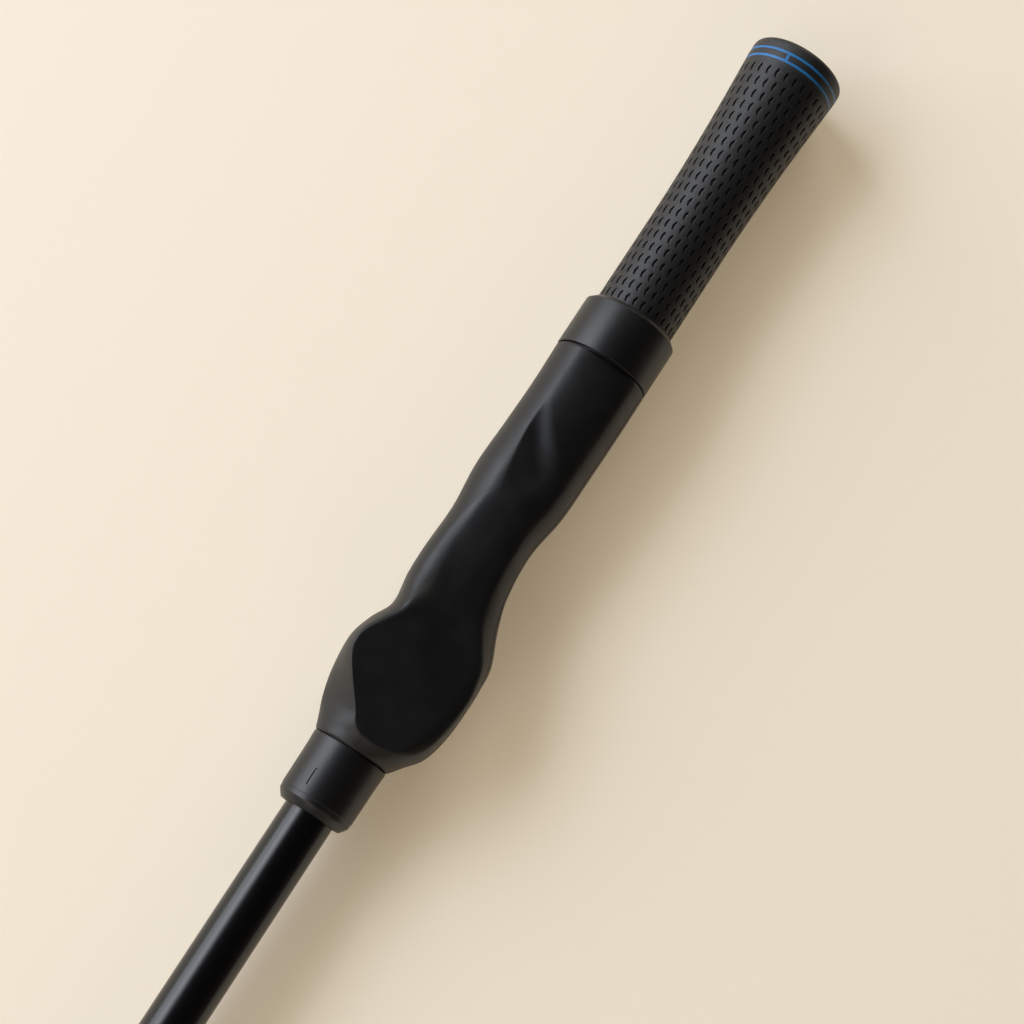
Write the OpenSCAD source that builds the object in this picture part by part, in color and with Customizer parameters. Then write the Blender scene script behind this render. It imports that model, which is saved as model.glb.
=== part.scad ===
// Swing trainer stick: a steel shaft with a rubber grip, a moulded training
// grip that slides and turns on it, and a weighted tip.
// The stick lies along X. The butt end face is at x = 0, the tip points to -X,
// and +Z is the side that faces up when the stick lies on its back.
// Every "at" value is a distance from the butt end face.

/* [Stick] */
// Overall length, butt face to tip
stick_len = 711; // [680:1:800]
// Outside diameter of the shaft (0.600 inch butt section)
shaft_d = 15.24; // [15.24:0.01:15.24]
// Wall of the shaft tube
shaft_wall = 1; // [0.8:0.1:1.5]

/* [Rubber grip] */
// Length of the rubber grip, butt face to mouth
grip_len = 241; // [238:1:241]
// Diameter of the capped butt end
cap_d = 29.8; // [29:0.1:31]
// Diameter of the parallel stretch that the upper hand holds
hand_d = 24.84; // [24:0.01:24.9]
// Where the flare towards the butt starts
flare_at = 65; // [50:1:80]
// Where the rubber steps down under the training grip
seat_at = 96.2; // [96:0.1:96.5]
// Thickness of the double-sided tape under the rubber
tape_t = 0.2; // [0.1:0.05:0.3]
// Where the end cap meets the textured rubber
cap_at = 8.6; // [8.4:0.1:9]

/* [Accent rings] */
// Centre of the ring nearest the butt
ring_at = 4.4; // [4.2:0.1:4.6]
// Spacing of the two rings
ring_gap = 2.7; // [2.4:0.1:2.8]
// Width of each painted line
ring_w = 0.8; // [0.6:0.1:1]
// Depth of the painted groove
ring_depth = 0.3; // [0.2:0.05:0.4]
// Side of the divider bar, measured from +Y towards +Z
divider_angle = 73; // [0:1:180]

/* [Training grip] */
// Rim of the lock collar
sleeve_at = 95.3; // [95:0.1:95.5]
// Seam between the lock collar and the moulded body
upper_seam_at = 112.5; // [112:0.1:113]
// Seam between the moulded body and the lower collar
lower_seam_at = 243.8; // [243.6:0.1:244]
// Lip of the lower collar
lip_at = 264.7; // [264:0.1:265]
// Diameter of the lock collar
lock_d = 29.8; // [29.7:0.1:30]
// Diameter of the lower collar at its waist
lower_collar_d = 22.8; // [22.6:0.1:23]
// Roll of the parting plane of the two half shells
parting_roll = 18; // [0:1:30]

/* [Tip] */
// Length of the weight, without its rubber bumper
weight_len = 52; // [45:1:60]
// Diameter of the weight
weight_d = 30; // [30:0.5:32]
// Length of the tapered ferrule above the weight
ferrule_len = 19; // [15:1:22]
// Length of the rubber bumper on the tip
bumper_len = 8; // [7:0.5:10]

/* [Hidden] */
$fn = 96;
over = 1;             // how far a cutter reaches past what it cuts

// stick
shaft_r = shaft_d / 2;
tape_r = shaft_r + tape_t;
cap_r = cap_d / 2;
cap_disc = 3.2;       // thickness of the closed end of the cap
cap_round = 1.5;      // radius of the cap's rim
vent_r = 1.6;         // hole that lets the air out when the grip goes on
flare_full = 5;       // the flare reaches the cap's diameter here
flare_power = 1.8;

// rubber under the training grip
seat_step = 1;        // length of the sloped step at the seat
seat_r = 10.6;        // just past the seat
waist_at = 135;
waist_r = 9;
mouth_r = 8.9;
mouth_chamfer = 1;
tape_short = 2;       // the tape stops this far inside the mouth

// fits of the training grip
slide_gap = 0.3;      // liner over rubber
run_gap = 0.06;       // turning and sliding fits
liner_at = 97.7;
liner_top_r = 13;     // upper journal
liner_top_end = 116;
liner_mid_r = 10.3;   // lower journal
liner_mid_at = 134;
liner_mid_end = 242.9;
liner_neck_r = 8.5;   // the neck runs on the bare shaft
liner_step = 1;       // wall between the lower journal and the neck
liner_end = 261;
finger_end = 115;     // the slots between the liner's fingers end here
finger_count = 6;
finger_slot = 1.2;

spigot_at = 105.5;    // upper end of the spigot that the lock collar turns on
spigot_r = 13.95;
lower_spigot_r = 10;
lower_spigot_end = 261.4;
spigot_root = 4;      // how far each spigot runs into the body
seam_gap = 0.3;
lock_mouth_r = 12.75;
rim_chamfer = 1.4;
collar_swell = 0.3;   // the lower collar is this much wider in radius at its seam
lip_bore_r = 8.7;
lip_round = 2.6;
shell_block = 60;     // a block larger than the moulded body

dowel_r = 1.25;
dowel_len = 9;
dowel_places = [[230, 14], [206, -16.6], [228, -16.4]];   // [at, offset across the parting plane]

// tip
weight_at = stick_len - bumper_len - weight_len;
weight_end = weight_at + weight_len;
weight_r = weight_d / 2;
weight_chamfer = 3;
groove_back = 12;     // from the weight's end to the start of its turned groove
groove_w = 2;
groove_depth = 0.6;
ferrule_r = weight_r - 4;
ferrule_edge = 0.5;   // wall of the ferrule's thin end
bumper_sink = 1.8;    // the bumper's plug reaches this far into the recess
bumper_round = 4;
socket_len = 30;      // how far the shaft enters the weight
shaft_end = weight_at + socket_len;
plug_r = shaft_r - shaft_wall;
plug_len = 24;
screw_r = 3;
screw_head_r = 5;
screw_head_len = 6;
washer_r = 6.5;
washer_t = 1.6;
recess_r = 7;
recess_depth = 10;
hex_across = 5;
hex_depth = 3;
thread_len = 16;      // how far the screw reaches into the plug

// mark: a plain bar engraved in the lower collar
mark_at = 256;
mark_len = 5;
mark_w = 1;
mark_depth = 0.35;
mark_angle = 64;      // from +Y towards +Z

// ---- moulded body ----------------------------------------------------------

// Sections of the moulded body: at, reach towards +Y, -Y, front (+Z) and back (-Z).
// Under the pad the front reach is that of the peak which the pad cuts off.
sections = [
    [112.5, 14.75, 14.9, 14.85, 14.8],
    [126, 14.5, 14.9, 14.85, 14.7],
    [141, 14.8, 14.7, 14.8, 14.5],
    [156, 15.2, 14.3, 14.5, 14],
    [170, 14, 12.4, 13.8, 13.2],
    [184, 14.4, 13.5, 13.4, 13.4],
    [193, 14.2, 16.2, 13.6, 14.2],
    [203, 13.1, 20.3, 16.8, 14.8],
    [210, 16.2, 21, 20, 15],
    [217, 18, 21.1, 23.6, 15],
    [227, 17.2, 20.5, 24.5, 14.9],
    [235, 15.2, 18.4, 17.4, 13.8],
    [240, 13.2, 14.6, 13.5, 12.6],
    [243.8, 11.8, 11.8, 11.8, 11.8]];
// How square the corners are: at, front +Y, front -Y, back (2 is round, 1 is a straight slope)
corners = [
    [112.5, 2, 2, 2],
    [156, 2, 2, 2],
    [170, 2.2, 2, 2],
    [184, 2.6, 2, 2.3],
    [200, 3, 2, 2.8],
    [208, 2.6, 2.4, 2.9],
    [217, 2.7, 2.6, 3],
    [227, 1.5, 2.4, 3],
    [235, 1.32, 2.8, 2.8],
    [240, 1.75, 3.2, 2.6],
    [243.8, 2, 2, 2]];

// The pad: a flat on the front of the bulge, tipped towards -Y. Its edge is sharp at the
// lower end and blends into the body towards the neck and towards -Y.
pad_z = 13.9;
pad_tilt = 0.06;
pad_edge = 0.3;
pad_blend = 3;
pad_blend_at = 222;
pad_neck_ramp = 20;   // the blend grows over this length towards the neck
pad_side_y = 3;       // and starts to grow this far from the axis towards -Y
pad_side_ramp = 9;
pad_upper_blend = 0.8;
pad_upper_ramp = 8;
steepest = 0.05;      // a flat is not followed past this share of the front direction

// The thumb rest: a second flat that runs down the neck, as at, height over the axis, tilt.
// It starts at a ridge that slants across the front, and rises into the pad at a soft fold.
thumb_rest = [
    [128, 11.4, 0.08],
    [141, 11.4, 0.08],
    [152, 12.2, 0.06],
    [161, 12.9, 0],
    [175, 12.9, -0.06],
    [190, 12.8, -0.04],
    [205, 12.9, 0.03],
    [220, 13.2, 0.05]];
ridge_at = 139;       // where the ridge crosses the front line
ridge_ramp = 12;
fold_at = 188;        // where the rise into the pad starts on the front line
fold_ramp = 25;
slant = 1.1;          // of the ridge and of the fold
crease_edge = 0.25;   // the thumb rest's +Y edge is a sharp crease down to crease_end
crease_end = 160;
crease_fade = 14;
neck_blend = 3.6;
side_blend = 1.2;     // its -Y edge is softer by this much
side_ramp = 8;

// Smooth curve through a list of rows: column c at distance a
function row_of(list, a, i = 0) = i >= len(list) - 2 || a < list[i + 1][0] ? i : row_of(list, a, i + 1);
function slope(list, i, c) =
    let (lo = max(i - 1, 0), hi = min(i + 1, len(list) - 1))
    (list[hi][c] - list[lo][c]) / (list[hi][0] - list[lo][0]);
function through(list, a, c) =
    let (i = row_of(list, a), w = list[i + 1][0] - list[i][0], u = (a - list[i][0]) / w)
    (1 + 2 * u) * (1 - u) * (1 - u) * list[i][c] + u * u * (3 - 2 * u) * list[i + 1][c]
    + w * u * (1 - u) * (1 - u) * slope(list, i, c) - w * u * u * (1 - u) * slope(list, i + 1, c);

function clamp01(t) = min(max(t, 0), 1);
function ease(t) = let (u = clamp01(t)) u * u * (3 - 2 * u);
function soft_min(a, b, k) = let (h = clamp01(0.5 + 0.5 * (b - a) / k)) b + (a - b) * h - k * h * (1 - h);

// Rounded section before the pad and the scoop are taken off
function blank_r(a, g) =
    let (c = cos(g), s = sin(g),
         across = through(sections, a, c > 0 ? 1 : 2),
         up = through(sections, a, s > 0 ? 3 : 4),
         p = through(corners, a, s < 0 ? 3 : c > 0 ? 1 : 2))
    pow(pow(abs(c) / across, p) + pow(abs(s) / up, p), -1 / p);

// Radius at angle g of a flat on the front, at height z over the axis and tipped by tilt
function flat_r(g, z, tilt) = z / max(sin(g) - tilt * cos(g), steepest);

function padded_r(a, g) =
    let (r = blank_r(a, g), y = r * cos(g),
         blend = pad_edge
             + pad_blend * ease((-y - pad_side_y) / pad_side_ramp + (pad_blend_at - a) / pad_neck_ramp)
             + pad_upper_blend * ease((pad_blend_at - a) / pad_upper_ramp))
    soft_min(r, flat_r(g, pad_z, pad_tilt), blend);

// Radius of the moulded body at distance a and angle g from +Y towards +Z
function body_r(a, g) =
    sin(g) <= steepest ? blank_r(a, g) :
    let (r = padded_r(a, g), y = r * cos(g), along = a + slant * y,
         share = ease((along - ridge_at) / ridge_ramp) * (1 - ease((along - fold_at) / fold_ramp)),
         blend = crease_edge + neck_blend * ease((a - crease_end) / crease_fade)
             + side_blend * ease(-y / side_ramp),
         rest = soft_min(r, flat_r(g, through(thumb_rest, a, 1), through(thumb_rest, a, 2)), blend))
    r + (rest - r) * share;

ring_sides = 48;
station_step = 2.3;
station_count = ceil((lower_seam_at - upper_seam_at) / station_step);
stations = [for (i = [0:station_count])
    upper_seam_at + seam_gap / 2 + i * (lower_seam_at - upper_seam_at - seam_gap / 2) / station_count];

// ---- helpers ---------------------------------------------------------------

// Turns a [radius, at] outline about the stick's axis
module turned(outline) {
    rotate([0, -90, 0]) rotate_extrude() polygon(outline);
}
// A tube between two distances
module tube(from, to, outer, inner) {
    turned([[inner, from], [outer, from], [outer, to], [inner, to]]);
}
module rod(from, to, r) {
    translate([-to, 0, 0]) rotate([0, 90, 0]) cylinder(h = to - from, r = r);
}

// ---- stick -----------------------------------------------------------------

function grip_r(a) =
    hand_d / 2 + (cap_d - hand_d) / 2
    * pow(clamp01((flare_at - a) / (flare_at - flare_full)), flare_power);
flare_points = 14;
flare_outline = [for (i = [0:flare_points])
    let (a = cap_at + (flare_at - cap_at) * i / flare_points) [grip_r(a), a]];
rim_outline = [for (t = [0:15:90])
    [cap_r - cap_round + cap_round * sin(t), cap_round - cap_round * cos(t)]];

module shaft_tube() {
    color("#101113") tube(cap_disc, shaft_end, shaft_r, shaft_r - shaft_wall);
}

module grip_tape() {
    color("#d9d4c4") tube(cap_disc, grip_len - tape_short, tape_r, shaft_r);
}

module rubber_grip() {
    color("#1b1c1f") turned(concat(
        flare_outline,
        [[hand_d / 2, seat_at], [seat_r, seat_at + seat_step], [waist_r, waist_at],
         [mouth_r, grip_len - mouth_chamfer], [mouth_r - mouth_chamfer, grip_len],
         [shaft_r, grip_len], [shaft_r, grip_len - tape_short], [tape_r, grip_len - tape_short],
         [tape_r, cap_at]]));
}

module ring_grooves(r_out) {
    for (a = [ring_at, ring_at + ring_gap])
        tube(a - ring_w / 2, a + ring_w / 2, r_out, grip_r(ring_at + ring_gap) - ring_depth);
    rotate([divider_angle, 0, 0])
        translate([-ring_at - ring_gap, grip_r(ring_at + ring_gap) - ring_depth, -ring_w / 2])
            cube([ring_gap, r_out - grip_r(ring_at + ring_gap) + ring_depth, ring_w]);
}

module cap_outline() {
    turned(concat(rim_outline,
        [[cap_r, flare_full], [grip_r(cap_at), cap_at], [tape_r, cap_at], [tape_r, cap_disc],
         [0, cap_disc], [0, 0]]));
}

module butt_cap() {
    color("#1e1f22") difference() {
        cap_outline();
        rod(-over, cap_disc + over, vent_r);
        ring_grooves(cap_r + over);
    }
}

module accent_rings() {
    color("#2f8fd8") intersection() {
        cap_outline();
        ring_grooves(cap_r + over);
    }
}

// ---- training grip ---------------------------------------------------------

// Outline of the space that the liner turns in, swelled by a gap
function journal(gap) = [
    [liner_top_r + gap, liner_at], [liner_top_r + gap, liner_top_end],
    [liner_mid_r + gap, liner_mid_at], [liner_mid_r + gap, liner_mid_end + gap],
    [liner_neck_r + gap, liner_mid_end + gap], [liner_neck_r + gap, liner_end]];

// Bore of the liner, clear of the rubber
function over_rubber(a) =
    slide_gap + (a < waist_at
        ? seat_r + (waist_r - seat_r) * (a - seat_at - seat_step) / (waist_at - seat_at - seat_step)
        : waist_r);

module liner() {
    color("#e4e1d6") difference() {
        turned(concat(journal(0), [
            [shaft_r + run_gap, liner_end], [shaft_r + run_gap, liner_mid_end - liner_step],
            [over_rubber(waist_at), liner_mid_end - liner_step], [over_rubber(waist_at), waist_at],
            [over_rubber(liner_at), liner_at]]));
        for (i = [0:finger_count - 1])
            rotate([i * 360 / finger_count, 0, 0])
                translate([-finger_end, 0, -finger_slot / 2])
                    cube([finger_end - liner_at + over, liner_top_r + over, finger_slot]);
    }
}

module moulded_blank() {
    n = ring_sides;
    rows = len(stations);
    pts = [for (a = stations) for (j = [0:n - 1])
        let (g = (j + 0.5) * 360 / n - parting_roll, r = body_r(a, g)) [-a, r * cos(g), r * sin(g)]];
    sides = [for (i = [0:rows - 2]) for (j = [0:n - 1])
        let (k = (j + 1) % n, p = i * n, q = p + n)
        each [[p + j, p + k, q + j], [p + k, q + k, q + j]]];
    top = [[for (j = [n - 1:-1:0]) j]];
    end = [[for (j = [0:n - 1]) (rows - 1) * n + j]];
    polyhedron(pts, concat(sides, top, end));
}

// One half of the moulded body, side 1 is the front and -1 the back
module half_shell(side) {
    difference() {
        union() {
            moulded_blank();
            rod(spigot_at, upper_seam_at + spigot_root, spigot_r);
            rod(lower_seam_at - spigot_root, lower_spigot_end, lower_spigot_r);
        }
        turned(concat([[0, spigot_at - over], [liner_top_r + run_gap, spigot_at - over]],
            [for (p = journal(run_gap)) if (p[1] > spigot_at) p],
            [[liner_neck_r + run_gap, lower_spigot_end + over], [0, lower_spigot_end + over]]));
        dowel_set(dowel_r);
        rotate([-parting_roll, 0, 0])
            translate([-lip_at, -shell_block / 2, side > 0 ? -shell_block : 0])
                cube([lip_at, shell_block, shell_block]);
    }
}

module dowel_set(r) {
    rotate([-parting_roll, 0, 0])
        for (p = dowel_places)
            translate([-p[0], p[1], -dowel_len / 2]) cylinder(h = dowel_len, r = r);
}

module front_shell() {
    color("#17181b") half_shell(1);
}

module back_shell() {
    color("#141518") half_shell(-1);
}

module shell_dowels() {
    color("#b9bcc0") dowel_set(dowel_r);
}

lower_collar_r = lower_collar_d / 2;
lip_outline = [for (t = [0:15:90])
    [lower_collar_r - lip_round + lip_round * cos(t), lip_at - lip_round + lip_round * sin(t)]];

module lower_collar() {
    color("#1c1d20") difference() {
        turned(concat(
            [[lower_spigot_r, lower_seam_at + seam_gap],
             [lower_collar_r + collar_swell, lower_seam_at + seam_gap]],
            lip_outline,
            [[lip_bore_r, lip_at], [lip_bore_r, lower_spigot_end],
             [lower_spigot_r, lower_spigot_end]]));
        rotate([mark_angle, 0, 0])
            translate([-mark_at - mark_len / 2, lower_collar_r - mark_depth, -mark_w / 2])
                cube([mark_len, over, mark_w]);
    }
}

module lock_collar() {
    lock_r = lock_d / 2;
    color("#1a1b1e") turned([
        [lock_mouth_r, sleeve_at], [lock_r - rim_chamfer, sleeve_at], [lock_r, sleeve_at + rim_chamfer],
        [lock_r, upper_seam_at - seam_gap / 2], [spigot_r + run_gap, upper_seam_at - seam_gap / 2],
        [spigot_r + run_gap, spigot_at - seam_gap], [liner_top_r + run_gap, spigot_at - seam_gap],
        [liner_top_r + run_gap, liner_at - seam_gap], [lock_mouth_r, liner_at - seam_gap]]);
}

// ---- tip -------------------------------------------------------------------

module ferrule() {
    color("#0e0f10") turned([
        [shaft_r, weight_at - ferrule_len], [shaft_r + ferrule_edge, weight_at - ferrule_len],
        [ferrule_r, weight_at], [shaft_r, weight_at]]);
}

module weight_head() {
    groove_at = weight_end - groove_back;
    color("#202226") turned([
        [shaft_r, weight_at], [weight_r - weight_chamfer, weight_at], [weight_r, weight_at + weight_chamfer],
        [weight_r, groove_at], [weight_r - groove_depth, groove_at + groove_depth],
        [weight_r - groove_depth, groove_at + groove_w - groove_depth], [weight_r, groove_at + groove_w],
        [weight_r, weight_end], [recess_r, weight_end], [recess_r, weight_end - recess_depth],
        [screw_r, weight_end - recess_depth], [screw_r, shaft_end], [shaft_r, shaft_end]]);
}

module tip_plug() {
    color("#a9acb0") difference() {
        rod(shaft_end - plug_len, shaft_end, plug_r);
        rod(shaft_end - thread_len, shaft_end + over, screw_r);
    }
}

module tip_screw() {
    head_at = weight_end - recess_depth + washer_t;
    color("#2b2c2e") difference() {
        union() {
            rod(shaft_end - thread_len, head_at + over, screw_r);
            rod(head_at, head_at + screw_head_len, screw_head_r);
        }
        translate([-head_at - screw_head_len - over, 0, 0]) rotate([0, 90, 0])
            cylinder(h = hex_depth + over, d = hex_across / cos(30), $fn = 6);
    }
}

module screw_washer() {
    color("#8f9296")
        tube(weight_end - recess_depth, weight_end - recess_depth + washer_t, washer_r, screw_r);
}

module end_bumper() {
    color("#151617") turned(concat(
        [[0, weight_end - bumper_sink], [recess_r, weight_end - bumper_sink], [recess_r, weight_end],
         [weight_r, weight_end]],
        [for (t = [0:15:90])
            [weight_r - bumper_round * (1 - cos(t)), stick_len - bumper_round * (1 - sin(t))]],
        [[0, stick_len]]));
}

shaft_tube();
grip_tape();
rubber_grip();
butt_cap();
accent_rings();
liner();
front_shell();
back_shell();
shell_dowels();
lower_collar();
lock_collar();
ferrule();
weight_head();
tip_plug();
tip_screw();
screw_washer();
end_bumper();
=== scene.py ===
import math

import bmesh
import bpy
import numpy as np
from mathutils import Matrix, Vector


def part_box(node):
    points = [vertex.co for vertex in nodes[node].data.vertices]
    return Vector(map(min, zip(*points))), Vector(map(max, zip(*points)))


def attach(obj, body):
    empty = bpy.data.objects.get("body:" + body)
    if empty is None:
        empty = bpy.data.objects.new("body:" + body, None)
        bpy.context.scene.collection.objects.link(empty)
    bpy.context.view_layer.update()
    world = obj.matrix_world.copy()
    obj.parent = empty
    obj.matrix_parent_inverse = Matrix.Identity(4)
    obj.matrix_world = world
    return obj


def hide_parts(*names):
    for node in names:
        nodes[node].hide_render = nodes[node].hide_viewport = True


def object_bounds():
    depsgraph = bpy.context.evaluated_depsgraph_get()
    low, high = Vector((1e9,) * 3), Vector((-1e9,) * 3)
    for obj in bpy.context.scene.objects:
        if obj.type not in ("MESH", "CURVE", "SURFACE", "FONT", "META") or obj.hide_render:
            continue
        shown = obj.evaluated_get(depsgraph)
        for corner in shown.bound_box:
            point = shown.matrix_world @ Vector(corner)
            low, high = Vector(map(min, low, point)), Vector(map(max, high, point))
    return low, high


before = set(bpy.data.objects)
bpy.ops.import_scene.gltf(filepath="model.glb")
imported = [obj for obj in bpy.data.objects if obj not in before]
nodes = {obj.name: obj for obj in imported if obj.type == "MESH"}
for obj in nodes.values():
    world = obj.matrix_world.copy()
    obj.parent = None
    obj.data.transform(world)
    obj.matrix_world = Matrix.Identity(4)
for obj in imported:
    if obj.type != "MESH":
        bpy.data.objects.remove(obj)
cad_box = [list(corner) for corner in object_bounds()]

# The stick lies along X with its butt end face at x = 0 and its tip towards -X.
# "At" is a distance from the butt face. All outlines are in millimetres.
MM = 0.001


# ---- Shaft ------------------------------------------------------------------
# A 15.24 mm steel tube, drawn to size, sprayed satin black and baked. Its ends
# are inside the rubber grip and the weight.

def turned_mesh(name, outline, sides=192, sharp=30):
    """A solid of revolution about the stick's axis from closed [at, radius] points in mm."""
    angles = np.arange(sides) * 2 * math.pi / sides
    points, rings = [], []
    for at, radius in outline:
        if radius < 1e-6:
            rings.append([len(points)])
            points.append((-at * MM, 0, 0))
        else:
            rings.append(list(range(len(points), len(points) + sides)))
            points += [(-at * MM, radius * MM * math.cos(a), radius * MM * math.sin(a))
                       for a in angles]
    faces = []
    closed = outline[0][1] > 1e-6
    pairs = list(zip(rings, rings[1:] + rings[:1])) if closed else list(zip(rings, rings[1:]))
    for near, far in pairs:
        for i in range(sides):
            j = (i + 1) % sides
            if len(near) == 1:
                faces.append((near[0], far[j], far[i]))
            elif len(far) == 1:
                faces.append((near[i], near[j], far[0]))
            else:
                faces.append((near[i], near[j], far[j], far[i]))
    return solid_mesh(name, points, faces, sharp)


def solid_mesh(name, points, faces, sharp=30):
    """A mesh object with outward faces, smooth except at edges of more than sharp degrees."""
    mesh = bpy.data.meshes.new(name)
    mesh.from_pydata([tuple(p) for p in points], [], [tuple(f) for f in faces])
    mesh.validate()
    work = bmesh.new()
    work.from_mesh(mesh)
    bmesh.ops.recalc_face_normals(work, faces=work.faces)
    for face in work.faces:
        face.smooth = True
    for edge in work.edges:
        if len(edge.link_faces) == 2 and edge.calc_face_angle(0) > math.radians(sharp):
            edge.smooth = False
    work.to_mesh(mesh)
    work.free()
    piece = bpy.data.objects.new(name, mesh)
    bpy.context.scene.collection.objects.link(piece)
    return piece


def linear(hex_colour):
    """sRGB hex to the linear RGBA that shaders use."""
    values = [int(hex_colour[i:i + 2], 16) / 255 for i in (1, 3, 5)]
    return (*[v / 12.92 if v <= 0.04045 else ((v + 0.055) / 1.055) ** 2.4 for v in values], 1)


def start_material(name, colour, roughness, metallic=0.0, ior=None):
    """An empty material with one Principled shader. Returns its tree and the shader."""
    material = bpy.data.materials.new(name)
    material.use_nodes = True
    shader = material.node_tree.nodes["Principled BSDF"]
    shader.inputs["Base Color"].default_value = linear(colour)
    shader.inputs["Roughness"].default_value = roughness
    shader.inputs["Metallic"].default_value = metallic
    if ior:
        shader.inputs["IOR"].default_value = ior
    return material, material.node_tree, shader


def add_node(tree, kind, settings=None, links=None):
    """Adds one node. settings holds its own or its inputs' values, links input: (node, output)."""
    node = tree.nodes.new(kind)
    for key, value in (settings or {}).items():
        if isinstance(key, str) and hasattr(node, key):
            setattr(node, key, value)
        else:
            node.inputs[key].default_value = value
    for key, (source, output) in (links or {}).items():
        tree.links.new(source.outputs[output], node.inputs[key])
    return node


def mottle(tree, scale, detail):
    """Cloudy pattern fixed to the piece, 1000 / scale mm across."""
    place = add_node(tree, "ShaderNodeTexCoord")
    return add_node(tree, "ShaderNodeTexNoise", {"Scale": scale, "Detail": detail},
                    {"Vector": (place, "Object")})


def vary_gloss(tree, shader, pattern, low, high):
    """Lets a pattern change the roughness from low to high."""
    gloss = add_node(tree, "ShaderNodeMapRange", {"To Min": low, "To Max": high},
                     {"Value": (pattern, "Fac")})
    tree.links.new(gloss.outputs["Result"], shader.inputs["Roughness"])


def raise_grain(tree, shader, pattern, strength, depth):
    """Lets a pattern raise the surface, by up to depth in mm."""
    bump = add_node(tree, "ShaderNodeBump", {"Strength": strength, "Distance": depth * MM},
                    {"Height": (pattern, "Fac")})
    tree.links.new(bump.outputs["Normal"], shader.inputs["Normal"])


def satin_black_paint():
    # Sprayed enamel on steel: even black, a clear but softened highlight, a trace of
    # orange peel 1.2 mm across and a few duller wiped patches.
    material, tree, shader = start_material("satin_black_enamel", "#060608", 0.24, ior=1.5)
    vary_gloss(tree, shader, mottle(tree, 45.0, 4.0), 0.2, 0.28)
    raise_grain(tree, shader, mottle(tree, 830.0, 2.0), 0.06, 0.1)
    return material


def finish_piece(piece, body, slot, material, *stands_for):
    """Gives a piece its material and body, and hides the CAD nodes that it stands for. slot is not
    used.
    """
    piece.data.materials.clear()
    piece.data.materials.append(material)
    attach(piece, body)
    if stands_for:
        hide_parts(*stands_for)


shaft_r = 7.62
shaft_wall = 1.0
shaft_from = 3.2
tip_at = -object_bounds()[0][0] / MM
shaft_to = -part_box("shaft_tube")[0][0] / MM
paint = satin_black_paint()
shaft = turned_mesh("shaft", [
    (shaft_from, shaft_r), (shaft_to, shaft_r),
    (shaft_to, shaft_r - shaft_wall), (shaft_from, shaft_r - shaft_wall)])
finish_piece(shaft, "stick", "shaft_paint", paint, "shaft_tube")


# ---- Grip tape --------------------------------------------------------------
# Double-sided paper tape wound on the shaft before the rubber grip is pushed on.
# It never shows, so its CAD solid stays.

def fine_ribs(tree, scale, wander):
    """Ribs side by side, 314 / scale mm apart, less straight the larger wander is."""
    place = add_node(tree, "ShaderNodeTexCoord")
    return add_node(tree, "ShaderNodeTexWave", {"Scale": scale, "Distortion": wander},
                    {"Vector": (place, "Object")})


def paper_tape():
    # Creped paper: cream, dull, with fine cross ribs 0.8 mm apart.
    material, tree, shader = start_material("creped_paper_tape", "#D9D4C4", 0.85)
    raise_grain(tree, shader, fine_ribs(tree, 390.0, 2.0), 0.3, 0.1)
    return material


def dress_node(node, material):
    """Gives a CAD node that stays visible its material."""
    nodes[node].data.materials.clear()
    nodes[node].data.materials.append(material)
    for face in nodes[node].data.polygons:
        face.material_index = 0


dress_node("grip_tape", paper_tape())


# ---- Rubber grip ------------------------------------------------------------
# Moulded natural rubber, pushed over wet tape. Its surface is broken by rows of
# short arched slits, 30 to a turn, each row half a step round from the last.

cap_r = 14.9
hand_r = 12.42
flare_at = 65.0
flare_full = 5.0
flare_power = 1.8
cap_at = 8.6
seat_at = 96.2
seat_r = 10.6
waist_at = 135.0
waist_r = 9.0
mouth_r = 8.9
tape_r = 7.82
grip_len = 241.0
slit_first_at = 11.4
slit_pitch = 4.3
slit_rows = 20
slits_round = 30
slit_half_len = 1.5
slit_half_width = 0.32
slit_arch = 0.24
slit_depth = 0.6
slit_wall = 0.14
half_steps = 8      # mesh lines from a slit's middle to half way to the next slit


def grip_radius(at):
    """Outside radius of the rubber grip in front of its seat."""
    share = np.clip((flare_at - at) / (flare_at - flare_full), 0, 1)
    return float(hand_r + (cap_r - hand_r) * share ** flare_power)


def ease(t):
    """Smooth step from 0 to 1."""
    t = np.clip(t, 0, 1)
    return t * t * (3 - 2 * t)


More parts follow.
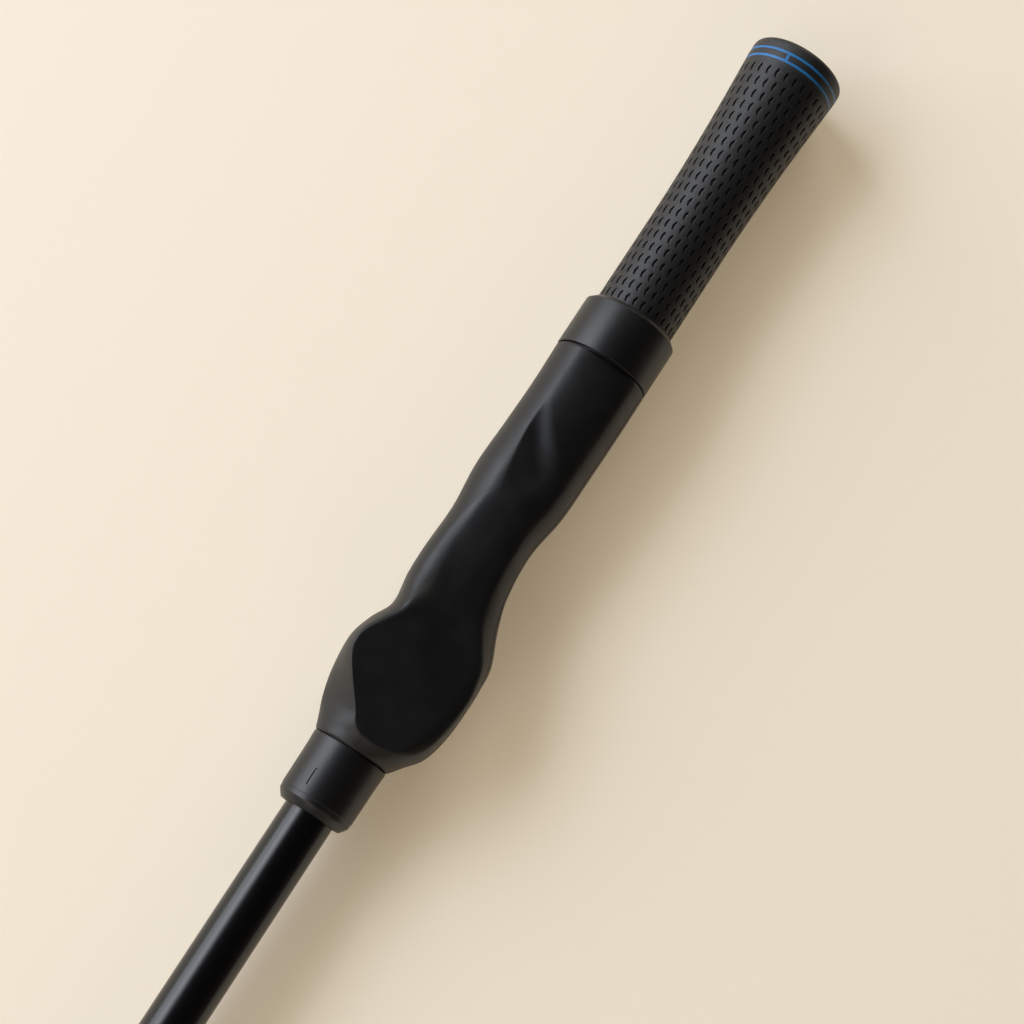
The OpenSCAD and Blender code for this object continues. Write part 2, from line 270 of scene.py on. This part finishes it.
def slit_ring(row, u):
    """One ring of points across a row of slits, u mm from the row's middle.

    Its points crowd at the slits' edges."""
    at = slit_first_at + row * slit_pitch + u
    radius = grip_radius(at)
    half_pitch = math.pi * radius / slits_round
    end = min(abs(u) / slit_half_len, 1.0)
    floor_edge = max(slit_half_width * (1 - end ** 2.5) ** 0.5 - slit_wall / 2, 0.03)
    lip = floor_edge + slit_wall
    crowded = [0, 0.4 * floor_edge, 0.75 * floor_edge, floor_edge, lip, lip + 0.1]
    crowded += [lip + 0.1 + (half_pitch - lip - 0.1) * share for share in (0.3, 0.62, 1)]
    even = [half_pitch * m / half_steps for m in range(half_steps + 1)]
    keep = float(ease((0.5 * slit_pitch - abs(u)) / (0.1 * slit_pitch)))
    sink = slit_depth * float(ease((1 - end) / 0.1))
    depths = [1, 1, 1, 0.94, 0.05, 0, 0, 0, 0]
    arch = -slit_arch * (0.5 + 0.5 * math.cos(math.pi * end)) * keep
    angles, radii = [], []
    for k in range(slits_round):
        middle = 2 * k + row % 2
        for m in range(-half_steps, half_steps):
            v = even[abs(m)] + (crowded[abs(m)] - even[abs(m)]) * keep
            v = (math.copysign(v, m)
                 + (arch + slit_arch / 2 * keep) * (1 - (abs(v) / half_pitch) ** 2))
            angles.append((middle + v / half_pitch) * math.pi / slits_round)
            radii.append(radius - sink * depths[abs(m)])
    shift = half_steps * (row % 2)
    return at, angles[-shift:] + angles[:-shift], radii[-shift:] + radii[:-shift]


def lofted_mesh(name, rings, sharp=30):
    """A closed tube from rings of (at, angles, radii); the last ring joins the first."""
    points, faces = [], []
    count = len(rings[0][1])
    for at, angles, radii in rings:
        points += [(-at * MM, r * MM * math.cos(a), r * MM * math.sin(a))
                   for a, r in zip(angles, radii)]
    for i in range(len(rings)):
        here, there = i * count, (i + 1) % len(rings) * count
        for j in range(count):
            k = (j + 1) % count
            faces.append((here + j, here + k, there + k, there + j))
    return solid_mesh(name, points, faces, sharp)


def slitted_grip():
    """The whole rubber grip: plain ends, and rows of slits between them."""
    across = slits_round * 2 * half_steps
    plain = [(m - half_steps) * 2 * math.pi / across for m in range(across)]

    def ring(at, radius):
        return at, plain, [radius] * across

    ends = [0.12, 0.3, 0.5, 0.7, 0.84, 0.91, 0.96, 1.0, 1.06]
    along = sorted({0.0, *[e * slit_half_len for e in ends], *[-e * slit_half_len for e in ends]})
    along = [-slit_pitch / 2, *along]
    rings = [ring(cap_at, tape_r), ring(cap_at, grip_radius(cap_at))]
    for row in range(slit_rows):
        rings += [slit_ring(row, u) for u in along]
    rings += [ring(seat_at, hand_r), ring(seat_at + 1, seat_r), ring(waist_at, waist_r),
              ring(grip_len - 1, mouth_r), ring(grip_len, mouth_r - 1), ring(grip_len, tape_r)]
    return lofted_mesh("rubber_grip_skin", rings, 40)


def vary_tone(tree, shader, pattern, deep, pale):
    """Lets a pattern change the colour from deep to pale."""
    tone = add_node(tree, "ShaderNodeMix", {"data_type": "RGBA", 6: linear(deep), 7: linear(pale)},
                    {0: (pattern, "Fac")})
    tree.links.new(tone.outputs[2], shader.inputs["Base Color"])


def moulded_rubber(name, colour, worn_colour, roughness, grain):
    # Vulcanised rubber from a spark-eroded mould: near black, dull, with a fine even grain
    # and a faint grey bloom where hands have worn it.
    material, tree, shader = start_material(name, colour, roughness, ior=1.52)
    pits = mottle(tree, 1000 / grain, 3.0)
    vary_tone(tree, shader, mottle(tree, 60.0, 5.0), colour, worn_colour)
    vary_gloss(tree, shader, pits, roughness - 0.06, roughness + 0.08)
    raise_grain(tree, shader, pits, 0.45, 0.2)
    return material


finish_piece(slitted_grip(), "stick", "grip_rubber",
             moulded_rubber("slitted_grip_rubber", "#0A0B0E", "#121316", 0.46, 0.35), "rubber_grip")


# ---- Butt cap ---------------------------------------------------------------
# The closed end of the grip, moulded in a harder, smoother rubber and bonded on.
# Two grooves run round it, and a vent hole lets air out as the grip goes on.

cap_disc = 3.2
cap_round = 1.7
vent_r = 1.6
ring_at = 4.4
ring_gap = 2.7
ring_w = 0.8
ring_depth = 0.3
ring_edge = 0.06
groove_floor = grip_radius(ring_at + ring_gap) - ring_depth
cap_back = cap_at - 0.01


def rounded(corners):
    """[at, radius, rounding] corners to an outline with each corner rounded to an arc."""
    outline = []
    count = len(corners)
    for i, (at, radius, rounding) in enumerate(corners):
        here = Vector((at, radius))
        if rounding <= 0:
            outline.append((at, radius))
            continue
        before = (Vector(corners[i - 1][:2]) - here).normalized()
        after = (Vector(corners[(i + 1) % count][:2]) - here).normalized()
        half = before.angle(after) / 2
        reach = rounding / math.tan(half)
        centre = here + (before + after).normalized() * rounding / math.sin(half)
        start = here + before * reach - centre
        end = here + after * reach - centre
        turn = start.angle_signed(end)
        steps = max(3, int(math.degrees(abs(turn)) / 12))
        for k in range(steps + 1):
            spoke = start.copy()
            spoke.rotate(Matrix.Rotation(-turn * k / steps, 2))
            outline.append(tuple(centre + spoke))
    return outline


def groove(at):
    """Corners of one groove in the cap's outline."""
    near, far = at - ring_w / 2, at + ring_w / 2
    return [(near, grip_radius(near), ring_edge), (near, groove_floor, 0),
            (far, groove_floor, 0), (far, grip_radius(far), ring_edge)]


cap_outline = rounded([
    (0.25, vent_r, 0.3), (0, 9.0, 3.0), (0.15, cap_r, cap_round), (1.9, cap_r, 0),
    *groove(ring_at), *groove(ring_at + ring_gap),
    (cap_back, grip_radius(cap_at), 0.15), (cap_back, tape_r, 0), (cap_disc, tape_r, 0),
    (cap_disc, vent_r, 0)])
finish_piece(turned_mesh("butt_cap_skin", cap_outline), "stick", "cap_rubber",
             moulded_rubber("smooth_cap_rubber", "#101114", "#1A1B1E", 0.46, 0.25), "butt_cap")


# ---- Accent rings -----------------------------------------------------------
# Blue paint wiped into the two grooves, and one short bar across the land between
# them. The paint lies a little below the rubber and is slightly uneven.

divider_angle = math.radians(73)
paint_sink = 0.05
paint_gap = 0.01


def groove_paint():
    # Flexible acrylic paint: saturated blue, half gloss, its colour a shade deeper where it pooled.
    material, tree, shader = start_material("blue_groove_paint", "#1F6AA8", 0.42, ior=1.48)
    pooled = mottle(tree, 700.0, 3.0)
    vary_tone(tree, shader, pooled, "#185E9C", "#2778B6")
    raise_grain(tree, shader, pooled, 0.15, 0.1)
    return material


def paint_line(at):
    """Outline of the paint in one groove."""
    near, far = at - ring_w / 2 + paint_gap, at + ring_w / 2 - paint_gap
    return [(near, groove_floor + paint_gap), (near, grip_radius(near) - paint_sink),
            (far, grip_radius(far) - paint_sink), (far, groove_floor + paint_gap)]


def joined(name, pieces):
    """One object from several that were drawn in place."""
    work = bmesh.new()
    for piece in pieces:
        work.from_mesh(piece.data)
    work.to_mesh(pieces[0].data)
    work.free()
    for piece in pieces[1:]:
        bpy.data.objects.remove(piece)
    pieces[0].name = name
    return pieces[0]


def divider_bar():
    """A curved bar from one line to the other, just proud of the land between them."""
    steps = 6
    overlap, proud, root = 0.05, 0.03, groove_floor + 0.1
    half = ring_w / 2 / cap_r
    angles = [divider_angle + half * (2 * k / steps - 1) for k in range(steps + 1)]
    near = ring_at + ring_w / 2 - overlap
    far = ring_at + ring_gap - ring_w / 2 + overlap
    points, faces = [], []
    for angle in angles:
        for at, radius in ((near, root), (near, grip_radius(near) + proud),
                           (far, grip_radius(far) + proud), (far, root)):
            points.append((-at * MM, radius * MM * math.cos(angle), radius * MM * math.sin(angle)))
    for k in range(steps):
        for c in range(4):
            d = (c + 1) % 4
            faces.append((4 * k + c, 4 * k + d, 4 * k + 4 + d, 4 * k + 4 + c))
    faces += [(0, 1, 2, 3), (4 * steps, 4 * steps + 1, 4 * steps + 2, 4 * steps + 3)]
    return solid_mesh("divider", points, faces)


rings = joined("accent_lines", [
    turned_mesh("line_near", paint_line(ring_at)),
    turned_mesh("line_far", paint_line(ring_at + ring_gap)),
    divider_bar()])
finish_piece(rings, "stick", "accent_blue", groove_paint(), "accent_rings")


# ---- Liner ------------------------------------------------------------------
# A tube turned from natural acetal, slotted at the top so that its fingers can be
# squeezed on the rubber. Only its ends can be seen, so its CAD solid stays.

def natural_acetal():
    # Machined acetal: milky white, waxy, with faint turning rings 0.3 mm apart.
    material, tree, shader = start_material("natural_acetal", "#DDD9CC", 0.35, ior=1.48)
    shader.inputs["Subsurface Weight"].default_value = 0.1
    shader.inputs["Subsurface Radius"].default_value = (0.002, 0.0018, 0.0014)
    raise_grain(tree, shader, fine_ribs(tree, 1000.0, 0.6), 0.1, 0.05)
    return material


dress_node("liner", natural_acetal())


# ---- Moulded body -----------------------------------------------------------
# Two half shells of black soft-touch plastic, moulded to place the lower hand:
# a flat oval pad on a bulge, a waist, and a thumb scoop with a crease along it.

upper_seam_at = 112.5
lower_seam_at = 243.8
seam_gap = 0.3
parting_roll = math.radians(18)
spigot_at, spigot_r = 105.5, 13.95
lower_spigot_r, lower_spigot_end = 10.0, 261.4
run_gap = 0.06
# The liner that the shells turn on: radius, at
journal = [(13.0, 116.0), (10.3, 134.0), (10.3, 242.9), (8.5, 242.9)]
liner_bore_r = journal[0][0] + run_gap

# at, reach towards +Y, -Y, front and back. Under the pad the front reach is that of the
# peak which the pad cuts off.
sections = np.array([
    [112.5, 14.75, 14.9, 14.85, 14.8],
    [126, 14.5, 14.9, 14.85, 14.7],
    [141, 14.8, 14.7, 14.8, 14.5],
    [156, 15.2, 14.3, 14.5, 14],
    [170, 14, 12.4, 13.8, 13.2],
    [184, 14.4, 13.5, 13.4, 13.4],
    [193, 14.2, 16.2, 13.6, 14.2],
    [203, 13.1, 20.3, 16.8, 14.8],
    [210, 16.2, 21, 20, 15],
    [217, 18, 21.1, 23.6, 15],
    [227, 17.2, 20.5, 24.5, 14.9],
    [235, 15.2, 18.4, 17.4, 13.8],
    [240, 13.2, 14.6, 13.5, 12.6],
    [243.8, 11.8, 11.8, 11.8, 11.8]])
# at, squareness of the front +Y, front -Y and back corners (2 is round, 1 a straight slope)
corners = np.array([
    [112.5, 2, 2, 2],
    [156, 2, 2, 2],
    [170, 2.2, 2, 2],
    [184, 2.6, 2, 2.3],
    [200, 3, 2, 2.8],
    [208, 2.6, 2.4, 2.9],
    [217, 2.7, 2.6, 3],
    [227, 1.5, 2.4, 3],
    [235, 1.32, 2.8, 2.8],
    [240, 1.75, 3.2, 2.6],
    [243.8, 2, 2, 2]])

pad_z, pad_tilt = 13.9, 0.06
pad_edge, pad_blend, pad_upper_blend = 0.3, 3.0, 0.8
pad_blend_at, pad_neck_ramp, pad_upper_ramp = 222.0, 20.0, 8.0
pad_side_y, pad_side_ramp = 3.0, 9.0
steepest = 0.05
# The thumb rest: at, height over the axis, tilt
thumb_rest = np.array([
    [128, 11.4, 0.08],
    [141, 11.4, 0.08],
    [152, 12.2, 0.06],
    [161, 12.9, 0],
    [175, 12.9, -0.06],
    [190, 12.8, -0.04],
    [205, 12.9, 0.03],
    [220, 13.2, 0.05]])
ridge_at, ridge_ramp = 139.0, 12.0
fold_at, fold_ramp = 188.0, 25.0
slant = 1.1
crease_edge, crease_end, crease_fade = 0.25, 160.0, 14.0
neck_blend, side_blend, side_ramp = 3.6, 1.2, 8.0


def through(table, at, column):
    """Smooth curve through the rows of a table, the same one the CAD shape follows."""
    xs, ys = table[:, 0], table[:, column]
    slopes = np.empty_like(ys)
    slopes[1:-1] = (ys[2:] - ys[:-2]) / (xs[2:] - xs[:-2])
    slopes[0] = (ys[1] - ys[0]) / (xs[1] - xs[0])
    slopes[-1] = (ys[-1] - ys[-2]) / (xs[-1] - xs[-2])
    i = np.clip(np.searchsorted(xs, at, side="right") - 1, 0, len(xs) - 2)
    width = xs[i + 1] - xs[i]
    u = (at - xs[i]) / width
    return ((1 + 2 * u) * (1 - u) ** 2 * ys[i] + u * u * (3 - 2 * u) * ys[i + 1]
            + width * u * (1 - u) ** 2 * slopes[i] - width * u * u * (1 - u) * slopes[i + 1])


def soft_min(a, b, blend):
    """The smaller of two radii, rounded over where they cross."""
    share = np.clip(0.5 + 0.5 * (b - a) / blend, 0, 1)
    return b + (a - b) * share - blend * share * (1 - share)


def flat_radius(angle, height, tilt):
    """Radius of a flat on the front, at a height over the axis."""
    return height / np.maximum(np.sin(angle) - tilt * np.cos(angle), steepest)


def body_radius(at, angle):
    """Radius of the moulded body in mm at arrays of distance and angle from +Y towards +Z."""
    c, s = np.cos(angle), np.sin(angle)
    across = np.where(c > 0, through(sections, at, 1), through(sections, at, 2))
    up = np.where(s > 0, through(sections, at, 3), through(sections, at, 4))
    power = np.where(s < 0, through(corners, at, 3),
                     np.where(c > 0, through(corners, at, 1), through(corners, at, 2)))
    blank = ((np.abs(c) / across) ** power + (np.abs(s) / up) ** power) ** (-1 / power)
    y = blank * c
    blend = (pad_edge
             + pad_blend * ease((-y - pad_side_y) / pad_side_ramp
                                + (pad_blend_at - at) / pad_neck_ramp)
             + pad_upper_blend * ease((pad_blend_at - at) / pad_upper_ramp))
    padded = soft_min(blank, flat_radius(angle, pad_z, pad_tilt), blend)
    y = padded * c
    along = at + slant * y
    share = ease((along - ridge_at) / ridge_ramp) * (1 - ease((along - fold_at) / fold_ramp))
    blend = (crease_edge
             + neck_blend * ease((at - crease_end) / crease_fade)
             + side_blend * ease(-y / side_ramp))
    rest = flat_radius(angle, through(thumb_rest, at, 1), through(thumb_rest, at, 2))
    return np.where(s > steepest, padded + (soft_min(padded, rest, blend) - padded) * share, blank)


def shell_mesh(name, side):
    """Half of the moulded body. side is 1 for the front, -1 for the back."""
    sweep, lengthwise = 220, 330
    joint_gap = 0.02
    angles = np.linspace(0, math.pi, sweep + 1) - parting_roll + (0 if side > 0 else math.pi)
    top = upper_seam_at + seam_gap / 2
    stations = np.linspace(top, lower_seam_at, lengthwise)
    # Both ends are rounded off at the seams, and each half along the parting line
    upper_round, lower_round, round_len = 0.35, 0.25, 0.5
    edge_drop = (upper_round * (1 - ease((stations - top) / round_len))
                 + lower_round * (1 - ease((lower_seam_at - stations) / round_len)))
    rim_round, rim_len, mean_r = 0.22, 0.35, 15
    rim = np.minimum(angles - angles[0], angles[-1] - angles) * mean_r
    rim_drop = rim_round * (1 - ease(rim / rim_len))
    outer = [(spigot_at, np.full(sweep + 1, spigot_r)), (top, np.full(sweep + 1, spigot_r))]
    for at, drop in zip(stations, edge_drop):
        outer.append((at, body_radius(np.full(sweep + 1, at), angles) - drop - rim_drop))
    outer += [(lower_seam_at, np.full(sweep + 1, lower_spigot_r)),
              (lower_spigot_end, np.full(sweep + 1, lower_spigot_r))]
    inner = [(spigot_at, liner_bore_r)] + [(at, radius + run_gap) for radius, at in journal]
    inner += [(lower_spigot_end, journal[-1][0] + run_gap)]
    inner = [(at, np.full(sweep + 1, radius)) for at, radius in inner]
    lift = np.array([0, -math.sin(-parting_roll), math.cos(parting_roll)]) * joint_gap / 2 * side
    rows = outer + inner[::-1]
    count = sweep + 1
    points = []
    for at, radii in rows:
        for angle, radius in zip(angles, radii):
            points.append(((-at + lift[0]) * MM, (radius * math.cos(angle) + lift[1]) * MM,
                           (radius * math.sin(angle) + lift[2]) * MM))
    faces = []
    for i in range(len(rows)):
        here, there = i * count, (i + 1) % len(rows) * count
        for j in range(sweep):
            faces.append((here + j, here + j + 1, there + j + 1, there + j))
    for j in (0, sweep):
        faces.append([i * count + j for i in range(len(rows))])
    return solid_mesh(name, points, faces, 35)


def soft_touch():
    # Glass-filled nylon with a soft-touch coat: deep black, matt, broad highlights, a grain
    # 0.3 mm across from the mould and a faint handling sheen.
    material, tree, shader = start_material("soft_touch_nylon", "#090A0D", 0.4, ior=1.47)
    handled = mottle(tree, 150.0, 6.0)
    vary_tone(tree, shader, handled, "#07080B", "#0B0C0F")
    vary_gloss(tree, shader, handled, 0.36, 0.52)
    raise_grain(tree, shader, mottle(tree, 3300.0, 2.0), 0.12, 0.08)
    return material


body_plastic = soft_touch()
finish_piece(shell_mesh("front_shell_skin", 1), "training_grip", "soft_touch", body_plastic,
             "front_shell")
finish_piece(shell_mesh("back_shell_skin", -1), "training_grip", "soft_touch", body_plastic,
             "back_shell")


# ---- Dowels -----------------------------------------------------------------
# Three ground steel pins, cut from rod and pressed into one half, that line the two
# halves up. They are shut inside them, so the CAD solids stay.

def ground_steel():
    # Centreless-ground silver steel: bright, with fine circular lay.
    material, tree, shader = start_material("ground_steel", "#C4C6C8", 0.22, metallic=1.0)
    vary_gloss(tree, shader, mottle(tree, 2500.0, 2.0), 0.16, 0.3)
    return material


dress_node("shell_dowels", ground_steel())


# ---- Lower collar -----------------------------------------------------------
# A matt ABS ring pressed over the lower ends of both shells. Its lip is rounded
# and stands clear of the shaft. A plain bar is engraved as an alignment mark.

lower_collar_r = 11.4
lip_at = 264.7
lip_bore_r = 8.7
rim_out, waist_from, waist_out = 0.3, 5.0, 0.1
step_back, step_len, step_out, step_in = 3.8, 0.1, 0.02, 0.14
lip_back, lip_in, lip_drop = 2.2, 0.25, 1.9
mark_at, mark_len, mark_w, mark_depth = 256.0, 5.0, 1.0, 0.35
mark_angle = math.radians(64)


def matt_abs():
    # ABS with a fine spark-eroded texture 0.2 mm across: black, even, softly shining.
    material, tree, shader = start_material("spark_textured_abs", "#0A0B0E", 0.4, ior=1.5)
    vary_gloss(tree, shader, mottle(tree, 80.0, 4.0), 0.36, 0.43)
    raise_grain(tree, shader, mottle(tree, 4200.0, 2.0), 0.15, 0.08)
    return material


def collar_mesh():
    """The collar from rings of points, with the mark sunk in."""
    rim_at = lower_seam_at + seam_gap
    outline = rounded([
        (rim_at, lower_spigot_r, 0), (rim_at, lower_collar_r + rim_out, 0.25),
        (lower_seam_at + waist_from, lower_collar_r + waist_out, 1.0),
        (lip_at - step_back, lower_collar_r - step_out, 0.1),
        (lip_at - step_back + step_len, lower_collar_r - step_in, 0.1),
        (lip_at - lip_back, lower_collar_r - lip_in, 1.2), (lip_at, lower_collar_r - lip_drop, 0.5),
        (lip_at, lip_bore_r, 0.25), (lower_spigot_end, lip_bore_r, 0),
        (lower_spigot_end, lower_spigot_r, 0)])
    fine = 0.06
    ends = [mark_at - mark_len / 2, mark_at + mark_len / 2]
    straight = next(i for i, p in enumerate(outline) if p[0] > mark_at)
    extra = sorted([ends[0] - fine, ends[0], ends[1], ends[1] + fine])
    top, bottom = outline[straight - 1], outline[straight]
    extra = [(at, top[1] + (bottom[1] - top[1]) * (at - top[0]) / (bottom[0] - top[0]))
             for at in extra]
    outline = outline[:straight] + extra + outline[straight:]
    half = mark_w / 2 / lower_collar_r
    sides = 180
    angles = list(np.arange(sides) * 2 * math.pi / sides)
    marks = [mark_angle - half - fine / 11, mark_angle - half, mark_angle, mark_angle + half,
             mark_angle + half + fine / 11]
    angles = sorted([a for a in angles if not marks[0] - 0.01 < a < marks[-1] + 0.01] + marks)
    rings = []
    for at, radius in outline:
        sunk = ends[0] - 1e-6 <= at <= ends[1] + 1e-6 and radius > lower_spigot_r + 0.5
        radii = [radius - mark_depth if sunk and marks[1] - 1e-6 <= a <= marks[3] + 1e-6
                 else radius for a in angles]
        rings.append((at, angles, radii))
    return lofted_mesh("lower_collar_skin", rings, 35)


collar_plastic = matt_abs()
finish_piece(collar_mesh(), "training_grip", "collar_plastic", collar_plastic, "lower_collar")


# ---- Lock collar ------------------------------------------------------------
# A matt ABS ring that turns a quarter turn on the shells' upper spigot and squeezes
# the liner's fingers. Its rim is chamfered where the rubber comes out.

lock_r = 14.9
sleeve_at = 95.3
lock_chamfer = 1.4
lock_mouth_r = 12.75
lock_end = upper_seam_at - seam_gap / 2
liner_at = 97.7
lock_outline = rounded([
    (sleeve_at, lock_mouth_r, 0.2), (sleeve_at, lock_r - lock_chamfer, 0.2),
    (sleeve_at + lock_chamfer, lock_r, 0.25), (lock_end, lock_r, 0.3),
    (lock_end, spigot_r + run_gap, 0), (spigot_at - seam_gap, spigot_r + run_gap, 0),
    (spigot_at - seam_gap, liner_bore_r, 0), (liner_at - seam_gap, liner_bore_r, 0),
    (liner_at - seam_gap, lock_mouth_r, 0)])
finish_piece(turned_mesh("lock_collar_skin", lock_outline), "lock_ring", "collar_plastic",
             collar_plastic, "lock_collar")


# ---- Ferrule ----------------------------------------------------------------
# A turned cellulose cone, slid up against the weight and wiped with solvent, which
# leaves it glossy.

bumper_len, weight_len = 8.0, 52.0
weight_r = 15.0
weight_at = tip_at - bumper_len - weight_len
weight_end = tip_at - bumper_len
ferrule_r, ferrule_len = weight_r - 4, 19.0
ferrule_lip, ferrule_rim = 0.5, 1.5
swell_back, swell_r = 12.0, 8.9


def polished_cellulose():
    # Cellulose acetate polished with solvent: black and wet-looking, faintly wavy.
    material, tree, shader = start_material("polished_cellulose", "#0A0A0B", 0.14, ior=1.48)
    waves = mottle(tree, 300.0, 2.0)
    vary_gloss(tree, shader, waves, 0.1, 0.2)
    raise_grain(tree, shader, waves, 0.08, 0.2)
    return material


ferrule_outline = rounded([
    (weight_at - ferrule_len, shaft_r, 0), (weight_at - ferrule_len, shaft_r + ferrule_lip, 0.2),
    (weight_at - swell_back, swell_r, 3), (weight_at - ferrule_rim, ferrule_r, 0.5),
    (weight_at, ferrule_r, 0.2), (weight_at, shaft_r, 0)])
finish_piece(turned_mesh("ferrule_skin", ferrule_outline), "stick", "ferrule_plastic",
             polished_cellulose(), "ferrule")


# ---- Tip plug ---------------------------------------------------------------
# An aluminium plug turned from bar and bonded in the shaft's end, tapped for the
# screw that holds the weight. It never shows, so its CAD solid stays.

def turned_aluminium():
    # Bar stock as it comes off the lathe: bright rings 0.2 mm apart.
    material, tree, shader = start_material("turned_aluminium", "#CACBCD", 0.3, metallic=1.0)
    raise_grain(tree, shader, fine_ribs(tree, 1500.0, 0.4), 0.2, 0.05)
    return material


dress_node("tip_plug", turned_aluminium())


# ---- Weight -----------------------------------------------------------------
# A steel slug turned from bar and powder coated. It is bonded on the shaft and
# held by a screw from its end.

def powder_coat():
    # Black polyester powder: low sheen with a pebbled skin 0.7 mm across.
    material, tree, shader = start_material("black_powder_coat", "#18191B", 0.46, ior=1.5)
    vary_gloss(tree, shader, mottle(tree, 70.0, 4.0), 0.38, 0.52)
    raise_grain(tree, shader, mottle(tree, 1400.0, 3.0), 0.35, 0.12)
    return material


weight_shoulder = 3.0
recess_r, recess_depth = 7.0, 10.0
band_from, band_to, band_depth = weight_end - 12, weight_end - 10, 0.6
screw_hole_r = 3.0
weight_outline = rounded([
    (weight_at, shaft_r, 0), (weight_at, weight_r - weight_shoulder, 0.4),
    (weight_at + weight_shoulder, weight_r, 0.8), (band_from, weight_r, 0.15),
    (band_from + band_depth, weight_r - band_depth, 0.15),
    (band_to - band_depth, weight_r - band_depth, 0.15), (band_to, weight_r, 0.15),
    (weight_end, weight_r, 0.3), (weight_end, recess_r, 0),
    (weight_end - recess_depth, recess_r, 0), (weight_end - recess_depth, screw_hole_r, 0),
    (shaft_to, screw_hole_r, 0), (shaft_to, shaft_r, 0)])
finish_piece(turned_mesh("weight_skin", weight_outline), "stick", "weight_paint", powder_coat(),
             "weight_head")


# ---- Screw washer -----------------------------------------------------------
# A stamped and zinc-plated steel washer on the floor of the weight's recess. It is
# covered by the bumper, so its CAD solid stays.

def plated_steel(name, colour, roughness):
    # Fastener finish, blackened or zinc plated: metal, slightly mottled.
    material, tree, shader = start_material(name, colour, roughness, metallic=1.0)
    vary_gloss(tree, shader, mottle(tree, 900.0, 4.0), roughness - 0.08, roughness + 0.1)
    return material


dress_node("screw_washer", plated_steel("zinc_plated_steel", "#B8BABD", 0.32))


# ---- Tip screw --------------------------------------------------------------
# A black socket-head steel screw, driven through the washer into the plug. It pulls
# the weight home on the shaft, and is covered too, so its CAD solid stays.

dress_node("tip_screw", plated_steel("black_oxide_steel", "#3A3A3C", 0.4))


# ---- Bumper -----------------------------------------------------------------
# A moulded rubber plug pressed into the weight's recess. It saves floors when the
# stick is stood on its tip.

spigot_len = 1.8
tip_round = 4.0
bumper_outline = rounded([
    (weight_end - spigot_len, 0, 0), (weight_end - spigot_len, recess_r, 0),
    (weight_end, recess_r, 0), (weight_end, weight_r, 0.2), (tip_at, weight_r, tip_round),
    (tip_at, 0, 0)])
finish_piece(turned_mesh("bumper_skin", bumper_outline), "stick", "bumper_rubber",
             moulded_rubber("bumper_rubber", "#111113", "#19191B", 0.6, 0.5), "end_bumper")


# ---- Floor, light and camera ------------------------------------------------
# A plain warm white floor that glows a little, as on a light table. Large soft lights on
# the +Y side draw the long highlight, and weak warm ones beyond the ends fill the shadow.

floor_gap = 0.05 * MM
floor_z = cad_box[0][2] - floor_gap
bpy.ops.mesh.primitive_plane_add(size=30, location=(-0.3, 0, floor_z))
floor = bpy.context.object
floor.name = "floor"
floor_material, _, floor_shader = start_material("warm_white_floor", "#F1EBDF", 0.8)
floor_shader.inputs["Emission Color"].default_value = linear("#FFE4BC")
floor_shader.inputs["Emission Strength"].default_value = 0.23
floor.data.materials.append(floor_material)


def soft_light(name, place, aim, size, power, colour):
    """A large rectangular lamp, out of the camera's sight. Size in metres, power in watts."""
    lamp = bpy.data.lights.new(name, "AREA")
    lamp.shape = "RECTANGLE"
    lamp.size, lamp.size_y = size
    lamp.energy = power
    lamp.color = linear(colour)[:3]
    lamp_object = bpy.data.objects.new(name, lamp)
    lamp_object.location = place
    lamp_object.rotation_euler = (Vector(aim) - Vector(place)).to_track_quat("-Z", "Y").to_euler()
    lamp_object.visible_camera = False
    bpy.context.scene.collection.objects.link(lamp_object)


middle = (-0.16, 0, 0)
soft_light("key", (-0.3, 2.4, 1.05), middle, (3.0, 1.9), 68, "#F2F7FF")
soft_light("upper_key", (-0.3, 2.1, 1.7), middle, (3.0, 1.2), 26, "#F2F7FF")
soft_light("tip_fill", (-2.2, 0.9, 1.5), middle, (1.8, 1.2), 14, "#FFF4E0")
soft_light("butt_fill", (2.2, 0.6, 1.3), middle, (1.8, 1.2), 20, "#FFF4E0")
soft_light("corner_fill", (-1.9, -1.6, 1.5), middle, (1.8, 1.2), 6, "#FFDDAA")

world = bpy.data.worlds.new("studio")
world.use_nodes = True
sky_tree = world.node_tree
sky = sky_tree.nodes["Background"]
sky.inputs["Color"].default_value = linear("#FFFAF2")
way = add_node(sky_tree, "ShaderNodeTexCoord")
height = add_node(sky_tree, "ShaderNodeSeparateXYZ", None, {"Vector": (way, "Generated")})
dimmed = add_node(sky_tree, "ShaderNodeMapRange", {
    "interpolation_type": "SMOOTHERSTEP", "From Min": 0.0, "From Max": 0.7, "To Min": 0.1,
    "To Max": 0.02}, {"Value": (height, "Z")})
sky_tree.links.new(dimmed.outputs["Result"], sky.inputs["Strength"])
bpy.context.scene.world = world
bpy.context.scene.view_settings.view_transform = "Standard"

camera_distance = 0.637
camera_data = bpy.data.cameras.new("camera")
camera_data.lens = 78.4
camera_data.sensor_width = 36
camera_data.clip_start = 0.01
camera = bpy.data.objects.new("camera", camera_data)
bpy.context.scene.collection.objects.link(camera)
target = Vector((-0.1619, -0.00106, 0))
look = Vector((0.1977, 0, -0.9803)).normalized()
right = Vector((0.5368, -0.8367, 0.1083))
right = (right - look * right.dot(look)).normalized()
up = right.cross(look)
turned = Matrix((right, up, -look)).transposed().to_4x4()
camera.matrix_world = Matrix.Translation(target - look * camera_distance) @ turned
bpy.context.scene.camera = camera
